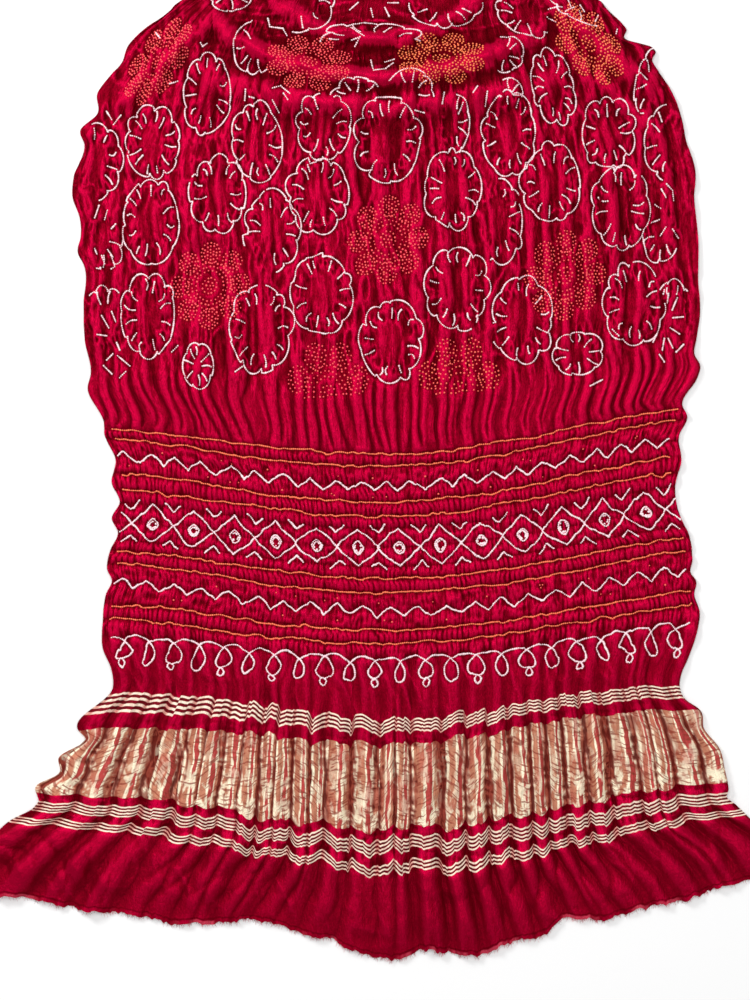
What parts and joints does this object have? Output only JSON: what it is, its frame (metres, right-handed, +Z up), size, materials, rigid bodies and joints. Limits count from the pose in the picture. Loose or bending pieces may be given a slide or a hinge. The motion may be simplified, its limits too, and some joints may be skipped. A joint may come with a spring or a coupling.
{
  "type": "bandhani cloth",
  "caption": "Puckered tie-dyed satin silk cloth with a gathered gold border and a frayed flared hem, lying flat in long uneven folds.",
  "frame": {"origin": "on the surface, under the middle of the cloth's outline", "axes": "+Z up from the surface to the right side of the cloth, +Y from the hem to the top edge, +X to the right seen from above"},
  "size_m": [0.8939, 1.1242, 0.0237],
  "materials": {
    "crimson_silk": "glossy crimson satin silk, puckered by tying, with small undyed and orange dots and a woven gold border"
  },
  "bodies": {
    "root": {"cloth": "crimson_silk"}
  },
  "joints": []
}
